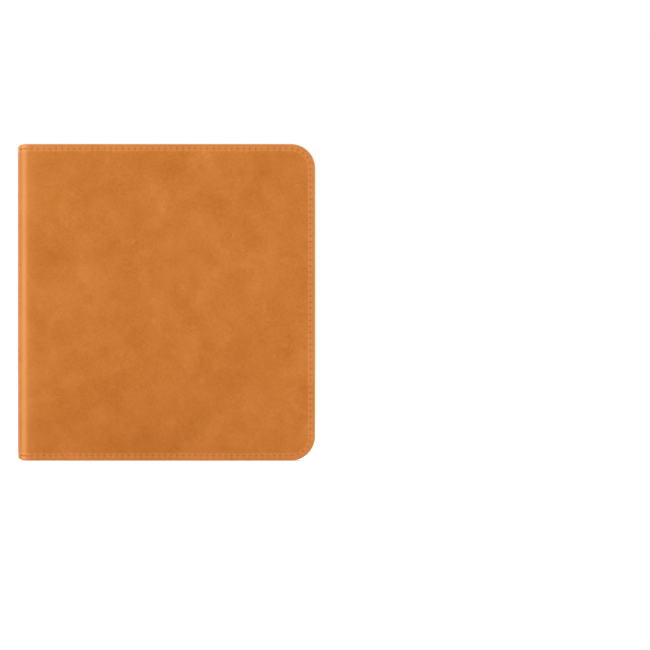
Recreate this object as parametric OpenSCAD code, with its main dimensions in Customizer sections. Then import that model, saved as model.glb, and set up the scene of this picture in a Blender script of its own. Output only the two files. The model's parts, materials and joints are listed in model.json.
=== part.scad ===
// Seven-inch e-reader with page-turn keys, snapped into a leather folio cover.
// It stands on its lower edge: +Z is up, +Y is the reading side, and the spine is at +X.
// The origin is the middle of the closed cover's lower edge.

/* [Cover] */
// Width of the closed cover, from the fore edge to the outside of the spine
cover_w = 156; // [154:0.5:162]
// Height of the cover
cover_h = 166; // [165:0.5:172]
// Radius of the two corners at the fore edge
corner_r = 12.8; // [8:0.1:14]
// Outer radius where each panel rolls into the spine
spine_r = 5.5; // [4.8:0.1:5.8]
// Thickness of the leather
leather_t = 1; // [0.8:0.1:1]
// Thickness of the grey board inside each panel
board_t = 1.2; // [1:0.1:1.2]
// Thickness of the microfibre lining
lining_t = 0.4; // [0.3:0.1:0.5]
// Width of the leather rim that is turned in round each board
rim_w = 3.4; // [3.2:0.1:5]

/* [Stitching] */
// Distance from the cover's edge to the middle of the seam
seam_inset = 2.55; // [2:0.05:2.8]
// Width of the seam's thread
thread_w = 0.45; // [0.3:0.05:0.6]
// Depth of the thread's groove
thread_depth = 0.25; // [0.15:0.05:0.4]

/* [Button window] */
// Radius of the round window in the back cover
window_r = 9.25; // [8:0.05:9.5]
// Distance from the outside of the spine to the middle of the window
window_from_spine = 19.7; // [18:0.1:22]
// Distance from the top edge to the middle of the window
window_from_top = 17.6; // [16:0.1:20]

/* [Holder] */
// Thickness of the holder's floor
tray_floor = 1; // [0.8:0.1:1.2]
// Thickness of the holder's walls
tray_wall = 1.3; // [1:0.1:1.3]
// Width of the cover that shows beyond the holder at the fore edge
fore_overhang = 1.5; // [0.8:0.1:2]

/* [Reader] */
// Width of the reader
reader_w = 144.6; // [143:0.1:145]
// Height of the reader
reader_h = 161.6; // [160:0.1:161.8]
// Thickness of the reader at the screen's bezel
reader_t = 8; // [7.8:0.1:8]
// Extra thickness at the outer edge of the grip
grip_rise = 1; // [0.2:0.1:1]
// Radius of the reader's corners
reader_r = 10.5; // [6:0.5:11]
// Width of the visible screen
screen_w = 107; // [104:0.5:107]
// Height of the visible screen
screen_h = 142.2; // [138:0.2:142.2]
// Width of the bezel beside the screen, on the spine side
bezel_w = 8.5; // [8:0.1:9]

/* [Controls] */
// Radius of the power button
power_r = 5.4; // [5:0.1:5.5]
// Width of a page key
key_w = 6.4; // [5:0.1:7]
// Length of a page key
key_len = 24.8; // [20:0.1:26]
// Distance between the middles of the two page keys
key_pitch = 32; // [30:0.5:36]
// How far a key or the button is pressed in
press = 0.35; // [0.2:0.05:0.35]

/* [Hidden] */

$fn = 96;
arc_steps = 14;      // straight runs in a rounded outline's quarter turn
eps = 0.01;
through = 1;         // how far a cutting shape runs past a face
gap = 0.15;          // space round the reader in its holder
glue_t = 0.2;        // thickness of the adhesive sheets

// The cover's stack of layers, from the middle plane of the closed cover outwards.
panel_t = leather_t + board_t + lining_t;
cover_t = 2 * panel_t + glue_t + tray_floor + reader_t + grip_rise + 0.6;
y_out = cover_t / 2;
y_board = y_out - leather_t;
y_lining = y_board - board_t;
y_in = y_lining - lining_t;
rim_gap = 0.1;       // clearance between a board and the leather rim round it
lining_inset = 0.3;  // from the panel's edge to its lining's edge
lining_drop = 1;     // width over which a lining runs off a board's edge
x_fore = -cover_w / 2;
x_spine = cover_w / 2;
x_fold = x_spine - spine_r;
y_fold = y_out - spine_r;

// The holder and the reader inside it.
y_tray = -y_in + glue_t;
y_back = y_tray + tray_floor;
y_front = y_back + reader_t;
tray_x0 = x_fore + fore_overhang;
reader_x0 = tray_x0 + tray_wall + gap;
reader_x1 = reader_x0 + reader_w;
tray_x1 = reader_x1 + gap + tray_wall;
reader_z0 = (cover_h - reader_h) / 2;
reader_z1 = reader_z0 + reader_h;
tray_z0 = reader_z0 - gap - tray_wall;
tray_z1 = reader_z1 + gap + tray_wall;
tray_r = reader_r + gap + tray_wall;
lip_t = 0.8;         // thickness of the holder's lip
lip_w = 0.75;        // how far the lip reaches over the reader

// The window, the screen and the grip.
window_x = x_spine - window_from_spine;
window_z = cover_h - window_from_top;
screen_x1 = reader_x1 - bezel_w;
screen_x0 = screen_x1 - screen_w;
screen_z0 = reader_z0 + (reader_h - screen_h) / 2;
screen_z1 = screen_z0 + screen_h;
grip_x = screen_x0 - 2;
key_x = (grip_x + reader_x0) / 2;
key_z = cover_h / 2;

// The reader's own stack, from its back wall to its front plate.
wall = 1.3;
y_floor = y_back + 1.2;
y_split = y_back + 4.8;
seal_t = 0.2;
y_plate = y_front - 1;
y_touch = y_plate - 0.2;
y_guide = y_touch - 0.3;
y_panel = y_guide - 0.5;
y_mid = y_panel - 0.8;
y_mid_back = y_mid - 0.8;
y_pcb = y_mid_back - 0.2;
y_pcb_back = y_pcb - 0.8;

// Outline of each layer of the screen: low and high corner.
touch_box = [[screen_x0 - 2.5, screen_z0 - 2.5], [screen_x1 + 2.5, screen_z1 + 2.5]];
guide_box = [[screen_x0 - 1.5, screen_z0 - 1], [screen_x1 + 1.5, screen_z1 + 1.5]];
panel_box = [[screen_x0 - 2, screen_z0 - 3.5], [screen_x1 + 2, screen_z1 + 2]];

// Screws that hold the midframe on the housing's bosses: [x, z].
boss_r = 1.7;
screw_r = 0.6;
screw_xs = [reader_x0 + 5.6, -20, 20, reader_x1 - 5.6];
screw_zs = [reader_z0 + 4.6, reader_z1 - 5];
frame_screws = [for (x = screw_xs) for (z = screw_zs) [x, z]];

// The main board is an L: a foot along the lower edge and an arm up to the power button.
pcb_inset = 2;
pcb_foot = [[-48, reader_z0], [reader_x1, 52]];
pcb_arm = [[window_x - 8, 40], [reader_x1, window_z + 7]];
board_screw_at = [[-42, 30], [38, 20], [64, 70], [54, 120]];
shield_h = 1.4;
usb_w = 8.94;
usb_t = 3.2;
usb_len = 7.4;
usb_y = y_floor + 0.1 + usb_t / 2;

battery_box = [[-32, 62], [28, 144]];
battery_t = 2.7;
y_battery = y_mid_back - 0.1 - battery_t;
flex_t = 0.15;
display_flex_x = [24, 58];
antenna_box = [[-22, reader_z1 - 14], [12, reader_z1 - 7]];
antenna_t = 0.2;

// The page keys' board is stuck to the back of the midframe, with its switches in a window.
key_board_box = [[key_x - 5, key_z - 33], [key_x + 5, key_z + 33]];
key_board_t = 0.4;
key_window = [key_board_box[0] + [1.5, 6], key_board_box[1] - [1.5, 2]];
switch_offset = 8;   // from a key's middle to each of its two switches
switch_top = y_mid_back + 0.55;
free_play = 0.05;    // what is left between a plunger and its switch at full press

flange_w = 0.9;      // how far a key's or the button's flange reaches past its slot
flange_t = 0.8;
proud = press;       // a key at rest stands this far out, and is flush when pressed

// The power button, its dish, and the ring and bar marked in the dish.
power_switch_top = y_pcb_back - 0.75;
power_cap_t = 1.15;
power_flange_t = 0.5;
y_power = y_floor + free_play;
dish_r = power_r - 0.2;
dish_floor_r = 3.3;
dish_depth = 0.75;
icon_r = 2.4;
icon_w = 0.95;

// Magnets in the boards.
magnet_r = 4;
magnet_gap = 0.05;
magnet_x = x_fore + 7;
closure_zs = [45, cover_h - 45];

function arc(cx, cy, r, from, to) =
    [for (i = [0 : arc_steps])
        let (a = from + (to - from) * i / arc_steps) [cx + r * cos(a), cy + r * sin(a)]];

// A rectangle from corner a to corner b, with its own round corners.
function round_box(a, b, r) = concat(
    arc(b[0] - r, a[1] + r, r, -90, 0), arc(b[0] - r, b[1] - r, r, 0, 90),
    arc(a[0] + r, b[1] - r, r, 90, 180), arc(a[0] + r, a[1] + r, r, 180, 270));

// A cover panel's outline, inset from its edge, running to x_end on the spine side.
function panel_outline(inset, x_end) = concat(
    [[x_end, cover_h - inset]],
    arc(x_fore + corner_r, cover_h - corner_r, corner_r - inset, 90, 180),
    arc(x_fore + corner_r, corner_r, corner_r - inset, 180, 270),
    [[x_end, inset]]);

function reader_outline(inset) = round_box(
    [reader_x0 + inset, reader_z0 + inset], [reader_x1 - inset, reader_z1 - inset],
    reader_r - inset);

function tray_outline(inset) = round_box(
    [tray_x0 + inset, tray_z0 + inset], [tray_x1 - inset, tray_z1 - inset],
    tray_r - inset);

// An upright sheet: the 2D children lie in X and Z, and it runs from y0 to y1.
module slab(y0, y1) {
    translate([0, y1, 0]) rotate([90, 0, 0]) linear_extrude(y1 - y0) children();
}

module box_slab(box, y0, y1) {
    translate([box[0][0], y0, box[0][1]])
        cube([box[1][0] - box[0][0], y1 - y0, box[1][1] - box[0][1]]);
}

// A round bar or hole along Y.
module rod(x, z, r, y0, y1) {
    translate([x, y1, z]) rotate([90, 0, 0]) cylinder(r = r, h = y1 - y0);
}

// A bar with round ends along Z, as a key, a port or a slot has.
module pill(x, z, w, len, y0, y1) {
    box_slab([[x - w / 2, z - len / 2 + w / 2], [x + w / 2, z + len / 2 - w / 2]], y0, y1);
    for (end = [-1, 1]) rod(x, z + end * (len - w) / 2, w / 2, y0, y1);
}

module flip() {
    mirror([0, 1, 0]) children();
}

/* Cover panels. Both are drawn on the front side, and the back ones are flipped. */

// The seam's run along the panel's three open edges, as a 2D strip.
module seam_strip(x_end) {
    difference() {
        polygon(panel_outline(seam_inset - thread_w / 2, x_end));
        polygon(panel_outline(seam_inset + thread_w / 2, x_end + through));
    }
}

module panel_leather() {
    difference() {
        slab(y_lining, y_out) polygon(panel_outline(0, x_fold));
        slab(y_lining - through, y_board) polygon(panel_outline(rim_w, x_fold + through));
        slab(y_out - thread_depth, y_out + through) seam_strip(x_fold + through);
    }
}

module panel_thread() {
    slab(y_out - thread_depth, y_out) seam_strip(x_fold);
}

module panel_board() {
    slab(y_lining, y_board) polygon(panel_outline(rim_w + rim_gap, x_fold - lining_drop));
}

// The lining runs off the board's edge on to the leather before the fold.
module panel_lining() {
    inset = rim_w + rim_gap;
    slab(y_in, y_lining) polygon(panel_outline(lining_inset, x_fold - lining_drop));
    translate([0, 0, inset]) linear_extrude(cover_h - 2 * inset) polygon([
        [x_fold - lining_drop, y_in], [x_fold, y_board - lining_t],
        [x_fold, y_board], [x_fold - lining_drop, y_lining]]);
}

module window(r, y0, y1) {
    rod(window_x, window_z, r, y0, y1);
}

module front_leather() {
    color("#CA7937") panel_leather();
}

module front_board() {
    color("#8C857A") difference() {
        panel_board();
        rod(key_x, key_z, magnet_r, y_lining - through, y_board + through);
        closure_magnets(magnet_gap);
    }
}

module front_lining() {
    color("#6B4A2E") panel_lining();
}

module front_stitching() {
    color("#B9692C") panel_thread();
}

// The round magnet in the front board puts the reader to sleep.
module sleep_magnet() {
    color("#B8BABD") rod(key_x, key_z, magnet_r - magnet_gap, y_lining, y_board);
}

// Two bar magnets by the fore edge of each board hold the cover closed.
module closure_magnets(grow) {
    for (z = closure_zs)
        box_slab([[magnet_x - 2 - grow, z - 9 - grow], [magnet_x + 2 + grow, z + 9 + grow]],
            y_lining - grow, y_board + grow);
}

module front_magnets() {
    color("#B8BABD") closure_magnets(0);
}

module back_magnets() {
    color("#B8BABD") flip() closure_magnets(0);
}

module back_leather() {
    collar = window_r + 1;
    color("#CA7937") flip() difference() {
        union() {
            panel_leather();
            window(collar, y_lining, y_out - leather_t / 2);
        }
        window(window_r, y_lining - through, y_out + through);
    }
}

module back_board() {
    color("#8C857A") flip() difference() {
        panel_board();
        closure_magnets(magnet_gap);
        window(window_r + 1.1, y_lining - through, y_board + through);
    }
}

module back_lining() {
    color("#6B4A2E") flip() difference() {
        panel_lining();
        window(window_r + 0.2, y_in - through, y_lining + through);
    }
}

module back_stitching() {
    color("#B9692C") flip() panel_thread();
}

/* Spine and folds. */

module spine_leather() {
    color("#CA7937") difference() {
        translate([x_spine - leather_t - board_t, -y_fold, 0])
            cube([leather_t + board_t, 2 * y_fold, cover_h]);
        translate([x_spine - leather_t - board_t - through, -y_fold - through, rim_w])
            cube([board_t + through, 2 * (y_fold + through), cover_h - 2 * rim_w]);
        spine_thread(through);
    }
}

module spine_board() {
    half = y_fold - lining_drop;
    inset = rim_w + rim_gap;
    color("#8C857A") translate([x_spine - leather_t - board_t, -half, inset])
        cube([board_t, 2 * half, cover_h - 2 * inset]);
}

// The lining lies on the spine's board and runs off its two long edges.
module spine_lining() {
    half = y_fold - lining_drop;
    inset = rim_w + rim_gap;
    x_leather = x_spine - leather_t;
    color("#6B4A2E") {
        translate([x_spine - panel_t, -half, lining_inset])
            cube([lining_t, 2 * half, cover_h - 2 * lining_inset]);
        for (side = [-1, 1])
            translate([0, 0, inset]) linear_extrude(cover_h - 2 * inset) polygon([
                [x_spine - panel_t, side * half], [x_leather - lining_t, side * y_fold],
                [x_leather, side * y_fold], [x_leather - board_t, side * half]]);
    }
}

module spine_thread(past) {
    for (z = [seam_inset, cover_h - seam_inset])
        translate([x_spine - thread_depth, -y_fold - past, z - thread_w / 2])
            cube([thread_depth + past, 2 * (y_fold + past), thread_w]);
}

module spine_stitching() {
    color("#B9692C") spine_thread(0);
}

// A quarter roll from a panel to the spine, between two radii.
module quarter_roll(r0, r1, inset) {
    translate([x_fold, y_fold, inset]) rotate_extrude(angle = 90)
        translate([r0, 0]) square([r1 - r0, cover_h - 2 * inset]);
}

module front_fold() {
    color("#D88A48") quarter_roll(spine_r - leather_t, spine_r, 0);
}

module front_fold_lining() {
    color("#6B4A2E")
        quarter_roll(spine_r - leather_t - lining_t, spine_r - leather_t, rim_w + rim_gap);
}

module back_fold() {
    color("#D88A48") flip() quarter_roll(spine_r - leather_t, spine_r, 0);
}

module back_fold_lining() {
    color("#6B4A2E") flip()
        quarter_roll(spine_r - leather_t - lining_t, spine_r - leather_t, rim_w + rim_gap);
}

/* Holder that the reader snaps into. */

module tray_adhesive() {
    color("#D9D4C6") difference() {
        slab(-y_in, y_tray) polygon(tray_outline(3));
        window(window_r + 2, -y_in - through, y_tray + through);
    }
}

// The lip runs round all but the grip's end. A slot in the lower wall leaves the port free.
module holder_tray() {
    y_lip = y_front + 0.1;
    y_past = y_lip + lip_t + through;
    slot_w = 14;
    slot_t = 7.2;
    color("#1B1B1D") difference() {
        union() {
            slab(y_tray, y_lip) polygon(tray_outline(0));
            intersection() {
                slab(y_lip, y_lip + lip_t) polygon(tray_outline(0));
                box_slab([[grip_x, 0], [x_spine, cover_h]], y_front, y_past);
            }
        }
        slab(y_back, y_lip) polygon(tray_outline(tray_wall));
        slab(y_front, y_past) polygon(tray_outline(tray_wall + gap + lip_w));
        window(window_r + 0.35, y_tray - through, y_back + through);
        translate([-slot_w / 2, y_back, -through]) cube([slot_w, slot_t, reader_z0 + through]);
    }
}

/* Reader: housing, bezel and seal. */

// The reader's body as seen from above: a flat back, and a front that rises along the grip.
module reader_body(rise) {
    translate([0, 0, reader_z0 - through]) linear_extrude(reader_h + 2 * through) polygon([
        [reader_x0 - through, y_back], [reader_x1 + through, y_back],
        [reader_x1 + through, y_front + rise], [grip_x, y_front + rise],
        [reader_x0, y_front + grip_rise + rise],
        [reader_x0 - through, y_front + grip_rise + rise]]);
}

module usb_hole(grow, z0, z1) {
    w = usb_w / 2 + grow;
    t = usb_t / 2 + grow;
    translate([0, usb_y, z0]) {
        translate([-w + t, -t, 0]) cube([2 * (w - t), 2 * t, z1 - z0]);
        for (side = [-1, 1]) translate([side * (w - t), 0, 0]) cylinder(r = t, h = z1 - z0);
    }
}

module power_recess() {
    rod(window_x, window_z, power_r + 0.15, y_back - through, y_floor + through);
    translate([window_x, y_back + 0.5, window_z]) rotate([90, 0, 0])
        cylinder(r1 = power_r + 0.15, r2 = power_r + 0.75, h = 0.5 + eps);
}

module rear_housing() {
    color("#232325") difference() {
        union() {
            difference() {
                slab(y_back, y_split) polygon(reader_outline(0));
                slab(y_floor, y_split + through) polygon(reader_outline(wall));
            }
            for (s = frame_screws) rod(s[0], s[1], boss_r, y_floor - eps, y_mid_back);
            for (s = board_screw_at) rod(s[0], s[1], boss_r, y_floor - eps, y_pcb_back);
        }
        for (s = concat(frame_screws, board_screw_at))
            rod(s[0], s[1], screw_r + 0.05, y_floor + 0.3, y_split);
        power_recess();
        usb_hole(0.1, reader_z0 - through, reader_z0 + wall + through);
    }
}

module housing_seal() {
    color("#101012") slab(y_split, y_split + seal_t) difference() {
        polygon(reader_outline(0.3));
        polygon(reader_outline(wall));
    }
}

module key_slot(z) {
    pill(key_x, z, key_w + 0.4, key_len + 0.4, y_plate - through, y_front + 3);
}

module front_bezel() {
    color("#1E1E20") difference() {
        intersection() {
            slab(y_split + seal_t, y_front + 3) polygon(reader_outline(0));
            reader_body(0);
        }
        slab(y_split, y_plate) polygon(reader_outline(wall));
        slab(y_plate - through, y_front + through) polygon(round_box(
            [screen_x0, screen_z0], [screen_x1, screen_z1], 0.8));
        for (side = [-1, 1]) key_slot(key_z + side * key_pitch / 2);
    }
}

/* Screen. */

module screen_gasket() {
    color("#0C0C0D") difference() {
        box_slab(touch_box, y_touch, y_plate);
        box_slab([[screen_x0 - 1, screen_z0 - 1], [screen_x1 + 1, screen_z1 + 1]],
            y_touch - through, y_plate + through);
    }
}

module touch_film() {
    color("#D6D6D0") box_slab(touch_box, y_guide, y_touch);
}

module light_guide() {
    color("#E4E6E6") box_slab(guide_box, y_panel, y_guide);
}

// A strip of lamps shines into the light guide's lower edge.
module led_strip() {
    led_count = 12;
    led_pitch = screen_w / led_count;
    z = guide_box[0][1];
    color("#E8D27A") {
        translate([screen_x0, y_panel, z - 2]) cube([screen_w, flex_t, 1.9]);
        for (i = [0 : led_count - 1])
            translate([screen_x0 + (i + 0.5) * led_pitch - 1.2, y_panel + flex_t - eps,
                z - 0.9]) cube([2.4, 0.3, 0.8]);
    }
}

module epaper_panel() {
    color("#C9C8C2") box_slab(panel_box, y_mid, y_panel);
}

// The ribbon leaves the panel's lower edge and turns back through the midframe to the board.
module display_flex() {
    w = display_flex_x[1] - display_flex_x[0];
    y = y_mid + 0.2;
    translate([display_flex_x[0], 0, panel_box[0][1]]) color("#B5732E") {
        translate([0, y, -0.3]) cube([w, flex_t, 0.3]);
        translate([0, y_pcb, -0.3 - flex_t]) cube([w, y + flex_t - y_pcb, flex_t]);
        translate([0, y_pcb, -0.3 - eps]) cube([w, flex_t, 6]);
    }
}

/* Midframe and electronics. */

module midframe() {
    color("#8E9296") difference() {
        slab(y_mid_back, y_mid) polygon(reader_outline(wall + 0.3));
        for (s = frame_screws) rod(s[0], s[1], screw_r + 0.4, y_mid_back - 1, y_mid + 1);
        through_plate([[display_flex_x[0] - 2, panel_box[0][1] - 0.8],
            [display_flex_x[1] + 2, panel_box[0][1] + 0.3]]);
        through_plate([[-usb_w / 2 - 0.5, 0], [usb_w / 2 + 0.5, reader_z0 + usb_len + 0.8]]);
        through_plate(key_window);
    }
}

// A cut right through the midframe or the main board.
module through_plate(box) {
    box_slab(box, y_pcb_back - through, y_mid + through);
}

// A pan-head screw with a cross slot, driven towards -Y, its head standing on y_mid.
module frame_screw(x, z) {
    head_r = 1.4;
    head_t = 0.7;
    slot_w = 0.36;
    difference() {
        union() {
            rod(x, z, head_r, y_mid, y_mid + head_t);
            rod(x, z, screw_r, y_mid - 3, y_mid + eps);
        }
        for (turn = [0, 90]) translate([x, y_mid + head_t / 2, z]) rotate([0, turn, 0])
            translate([-0.8, 0, -slot_w / 2]) cube([1.6, head_t, slot_w]);
    }
}

module midframe_screws() {
    color("#C4C6C8") for (s = frame_screws) frame_screw(s[0], s[1]);
}

// A countersunk screw, or the hole that it sits in when grow is more than 0.
module board_screw(x, z, grow) {
    head_r = 1.2;
    head_t = 0.5;
    rod(x, z, screw_r + grow, y_pcb_back - 1.2 - grow, y_pcb - eps);
    translate([x, y_pcb, z]) rotate([90, 0, 0])
        cylinder(r1 = head_r + grow, r2 = screw_r + grow - eps, h = head_t);
}

module main_board() {
    color("#1F5A3A") difference() {
        intersection() {
            slab(y_pcb_back, y_pcb) polygon(reader_outline(pcb_inset));
            union() {
                box_slab(pcb_foot, y_pcb_back, y_pcb);
                box_slab(pcb_arm, y_pcb_back, y_pcb);
            }
        }
        for (s = frame_screws)
            rod(s[0], s[1], boss_r + 0.4, y_pcb_back - through, y_pcb + through);
        for (s = board_screw_at) board_screw(s[0], s[1], 0.1);
        through_plate([[-usb_w / 2 - 0.3, 0], [usb_w / 2 + 0.3, reader_z0 + usb_len + 0.4]]);
    }
}

// A pressed steel can on the rear of the board.
module shield_can(box) {
    difference() {
        box_slab(box, y_pcb_back - shield_h, y_pcb_back);
        box_slab([box[0] + [0.3, 0.3], box[1] - [0.3, 0.3]],
            y_pcb_back - shield_h + 0.3, y_pcb_back + 1);
    }
}

module processor_shield() {
    color("#B9BCC0") shield_can([[-36, 22], [-8, 46]]);
}

module radio_shield() {
    color("#B9BCC0") shield_can([[10, 30], [28, 46]]);
}

// Square chips on the rear of the board: [x, z, side].
module board_chips() {
    chips = [[-24, 33, 12], [17, 37, 8], [46, 40, 7], [58, 58, 6], [58, 92, 5]];
    color("#222326") for (c = chips)
        box_slab([[c[0] - c[2] / 2, c[1] - c[2] / 2], [c[0] + c[2] / 2, c[1] + c[2] / 2]],
            y_pcb_back - 0.8, y_pcb_back);
}

module board_screws() {
    socket_r = 0.45;
    color("#C4C6C8") for (s = board_screw_at)
        difference() {
            board_screw(s[0], s[1], 0);
            translate([s[0], y_pcb + through, s[1]]) rotate([90, 0, 0])
                cylinder(r = socket_r, h = through + 0.3, $fn = 6);
        }
}

module usb_port() {
    color("#C8CACD") {
        difference() {
            usb_hole(0, reader_z0 + 0.3, reader_z0 + usb_len);
            usb_hole(-0.32, reader_z0 - through, reader_z0 + usb_len - 0.6);
        }
        translate([-3.35, usb_y - 0.35, reader_z0 + 1.2]) cube([6.7, 0.7, usb_len - 1.3]);
    }
}

module battery() {
    color("#C9CCD0") slab(y_battery, y_battery + battery_t)
        polygon(round_box(battery_box[0], battery_box[1], 2));
}

// Two pull-tab strips hold the battery on the housing's floor.
module battery_adhesive() {
    color("#E9E6DC") for (x = [-22, 8])
        box_slab([[x, battery_box[0][1] + 8], [x + 10, battery_box[1][1] - 8]],
            y_floor, y_battery);
}

// Three wires run from the battery to a plug on the rear of the board.
module battery_lead() {
    plug = [[-2, 48.5], [6, 51.5]];
    wire_r = 0.4;
    color("#C23B2E") {
        box_slab(plug, y_pcb_back - 1.2, y_pcb_back);
        for (x = [0, 2, 4]) translate([x, y_pcb_back - 0.6, plug[1][1] - 0.5])
            cylinder(r = wire_r, h = battery_box[0][1] - plug[1][1] + 0.5);
    }
}

// A foil antenna on the housing's floor, by the top edge.
module antenna() {
    color("#C58A3C") box_slab(antenna_box, y_floor, y_floor + antenna_t);
}

// A thin cable runs beside the battery, from the board's rear up to the antenna.
module antenna_cable() {
    x = 32;
    z_plug = 46;
    cable = 0.9;
    y = y_floor + antenna_t;
    color("#2A2A2C") {
        box_slab([[x, z_plug - cable], [x + cable, antenna_box[0][1] + 3]], y, y + cable);
        box_slab([[antenna_box[1][0] - 3, antenna_box[0][1] + 3 - cable],
            [x + eps, antenna_box[0][1] + 3]], y, y + cable);
        box_slab([[x - 0.4, z_plug - 2.1], [x + 1.3, z_plug - cable + eps]], y, y_pcb_back);
    }
}

/* Power button. */

module power_switch() {
    half = 2.2;
    can_t = 0.5;
    color("#D5D6D2") {
        box_slab([[window_x - half, window_z - half], [window_x + half, window_z + half]],
            y_pcb_back - can_t, y_pcb_back);
        rod(window_x, window_z, 1.1, power_switch_top, y_pcb_back - can_t + eps);
    }
}

// The cap's outer face is a shallow dish with a flat floor. Its section is drawn outwards
// from the flange, and the plunger behind it stops just short of the switch.
module power_button() {
    steps = 8;
    lip_r = power_r + flange_w;
    dish = [for (i = [steps : -1 : 0]) let (t = i / steps)
        [dish_floor_r + (dish_r - dish_floor_r) * t, power_cap_t - dish_depth * cos(90 * t)]];
    plunger = power_switch_top - press - free_play - y_power;
    color("#19191B") difference() {
        translate([window_x, y_power, window_z]) rotate([90, 0, 0]) {
            rotate_extrude() polygon(concat(
                [[0, -power_flange_t], [lip_r, -power_flange_t], [lip_r, 0], [power_r, 0],
                 [power_r, power_cap_t - 0.15], [dish_r + 0.05, power_cap_t]],
                dish, [[0, power_cap_t - dish_depth]]));
            translate([0, 0, -plunger]) cylinder(r = 1.2, h = plunger - power_flange_t / 2);
        }
        power_mark();
    }
}

// A ring with a gap and a bar, turned on its side, let into the floor of the dish.
module power_mark() {
    depth = 0.12;
    y = y_power - power_cap_t + dish_depth;
    notch = 3.6;
    translate([window_x, y + depth, window_z]) rotate([90, 0, 0]) linear_extrude(depth) {
        difference() {
            circle(r = icon_r + icon_w / 2);
            circle(r = icon_r - icon_w / 2);
            polygon([[0, 0], [notch, notch * tan(36)], [notch, -notch * tan(36)]]);
        }
        translate([-0.25, -icon_w / 2]) square([icon_r + 0.8, icon_w]);
    }
}

module power_icon() {
    color("#8A8B8E") power_mark();
}

/* Page keys. */

// A key follows the grip's slope. Its flange lies behind the bezel, over two switches.
module page_key(z) {
    y_flange = y_plate - free_play - flange_t;
    color("#28282B") {
        intersection() {
            pill(key_x, z, key_w, key_len, y_flange + eps, y_front + 3);
            reader_body(proud);
        }
        pill(key_x, z, key_w + 2 * flange_w, key_len + 2 * flange_w,
            y_flange, y_flange + flange_t);
        for (side = [-1, 1]) rod(key_x, z + side * switch_offset, 1.2,
            switch_top + press + free_play, y_flange + eps);
    }
}

module page_key_upper() {
    page_key(key_z + key_pitch / 2);
}

module page_key_lower() {
    page_key(key_z - key_pitch / 2);
}

module key_board() {
    color("#1F5A3A") box_slab(key_board_box, y_mid_back - key_board_t, y_mid_back);
}

module key_switches() {
    cap_t = 0.2;
    color("#D5D6D2") for (key = [-1, 1]) for (side = [-1, 1]) {
        z = key_z + key * key_pitch / 2 + side * switch_offset;
        box_slab([[key_x - 2, z - 2], [key_x + 2, z + 2]], y_mid_back, switch_top - cap_t);
        rod(key_x, z, 1.3, switch_top - cap_t - eps, switch_top);
    }
}

// A ribbon from the lower end of the keys' board to the main board's corner.
module key_flex() {
    color("#B5732E") slab(y_pcb, y_pcb + flex_t) polygon([
        [key_x - 3, key_board_box[0][1]], [key_x + 3, key_board_box[0][1]],
        [key_x + 3, 46], [-40, 46], [-40, 40], [key_x - 3, 40]]);
}

// It feels the magnet in the closed cover.
module hall_sensor() {
    half = 1.5;
    color("#222326") box_slab([[key_x - half, key_z - half], [key_x + half, key_z + half]],
        y_mid_back, y_mid_back + 0.6);
}

front_leather();
front_board();
front_lining();
front_stitching();
sleep_magnet();
front_magnets();
front_fold();
front_fold_lining();
spine_leather();
spine_board();
spine_lining();
spine_stitching();
back_fold();
back_fold_lining();
back_leather();
back_board();
back_lining();
back_magnets();
back_stitching();
tray_adhesive();
holder_tray();
rear_housing();
housing_seal();
front_bezel();
screen_gasket();
touch_film();
light_guide();
led_strip();
epaper_panel();
display_flex();
midframe();
midframe_screws();
main_board();
processor_shield();
radio_shield();
board_chips();
board_screws();
usb_port();
battery();
battery_adhesive();
battery_lead();
antenna();
antenna_cable();
power_switch();
power_button();
power_icon();
page_key_upper();
page_key_lower();
key_board();
key_switches();
key_flex();
hall_sensor();
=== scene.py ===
import json
from math import ceil, cos, exp, hypot, pi, radians, sin, sqrt

import bmesh
import bpy
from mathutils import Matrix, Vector, noise
from mathutils.geometry import delaunay_2d_cdt
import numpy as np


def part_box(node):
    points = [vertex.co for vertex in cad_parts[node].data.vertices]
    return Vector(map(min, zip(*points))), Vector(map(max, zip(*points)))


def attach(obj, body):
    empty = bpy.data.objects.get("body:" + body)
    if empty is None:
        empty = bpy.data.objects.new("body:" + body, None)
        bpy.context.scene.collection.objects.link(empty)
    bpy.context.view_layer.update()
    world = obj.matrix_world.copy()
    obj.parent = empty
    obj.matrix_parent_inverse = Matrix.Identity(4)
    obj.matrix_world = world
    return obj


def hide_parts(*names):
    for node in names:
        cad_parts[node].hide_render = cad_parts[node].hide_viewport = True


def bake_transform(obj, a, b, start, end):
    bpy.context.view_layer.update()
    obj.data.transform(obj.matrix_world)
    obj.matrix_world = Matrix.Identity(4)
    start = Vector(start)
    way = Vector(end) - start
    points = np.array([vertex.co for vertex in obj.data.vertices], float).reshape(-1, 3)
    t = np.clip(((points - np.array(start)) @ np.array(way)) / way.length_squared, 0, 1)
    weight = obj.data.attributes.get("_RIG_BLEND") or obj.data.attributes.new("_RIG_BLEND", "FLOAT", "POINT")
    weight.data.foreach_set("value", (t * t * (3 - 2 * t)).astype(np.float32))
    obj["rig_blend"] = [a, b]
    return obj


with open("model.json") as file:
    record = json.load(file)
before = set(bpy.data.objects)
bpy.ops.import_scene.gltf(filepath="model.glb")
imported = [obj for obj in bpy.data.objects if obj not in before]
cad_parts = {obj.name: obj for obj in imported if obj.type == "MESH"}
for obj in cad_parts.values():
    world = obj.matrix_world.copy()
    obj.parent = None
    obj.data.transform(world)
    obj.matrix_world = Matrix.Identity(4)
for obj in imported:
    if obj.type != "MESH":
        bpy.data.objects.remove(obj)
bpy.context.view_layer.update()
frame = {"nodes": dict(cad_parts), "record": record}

MM = 0.001

# Lengths are millimetres, apart from the stage, the lights and the camera, which are in metres.


def corners(node):
    """The low and high corners of a CAD node's box."""
    low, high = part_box(node)
    return Vector(low) / MM, Vector(high) / MM


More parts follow.
